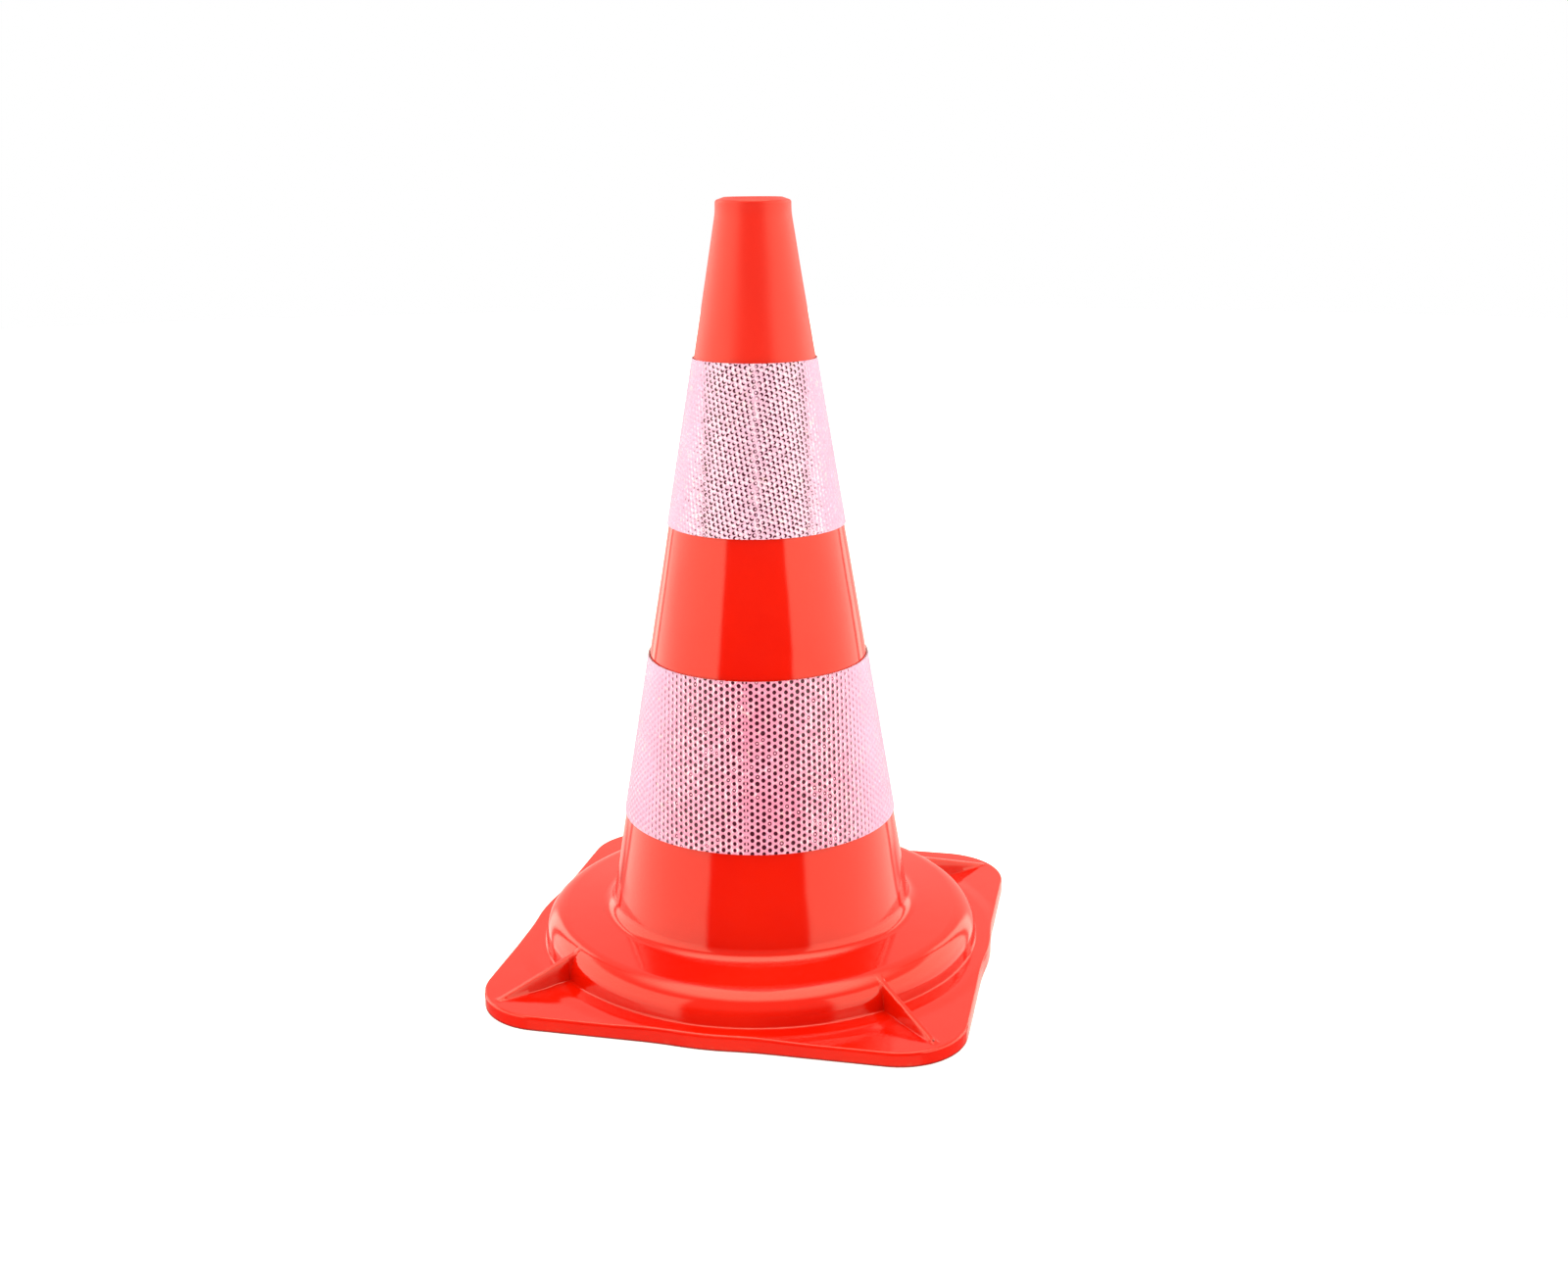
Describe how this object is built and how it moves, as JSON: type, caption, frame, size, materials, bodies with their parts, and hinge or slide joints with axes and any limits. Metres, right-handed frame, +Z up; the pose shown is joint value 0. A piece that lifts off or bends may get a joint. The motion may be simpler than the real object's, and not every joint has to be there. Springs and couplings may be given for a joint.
{
  "type": "traffic cone",
  "caption": "Hollow flexible traffic cone on a square flanged base with corner ribs and two slip-on reflective sleeves.",
  "frame": {"origin": "on the ground, at the centre of the base, on the cone's axis", "axes": "+Z up along the cone's axis; X and Y parallel to the sides of the square flange"},
  "size_m": [0.2848, 0.2848, 0.45],
  "materials": {
    "orange_pvc": "glossy moulded soft PVC, red-orange",
    "backing_film": "matt white film",
    "lens_film": "clear microprism film over white, seen as pale pink"
  },
  "bodies": {
    "cone": {"cone_body": "orange_pvc"},
    "upper_sleeve": {"upper_sleeve_backing_film": "backing_film", "upper_sleeve_lens_film": "lens_film"},
    "lower_sleeve": {"lower_sleeve_backing_film": "backing_film", "lower_sleeve_lens_film": "lens_film"}
  },
  "joints": [
    {"name": "upper_sleeve_lift", "type": "slide", "parent": "cone", "child": "upper_sleeve", "axis": [0, 0, 1], "range_m": [0, 0.19]},
    {"name": "lower_sleeve_lift", "type": "slide", "parent": "cone", "child": "lower_sleeve", "axis": [0, 0, 1], "range_m": [0, 0.365]}
  ]
}
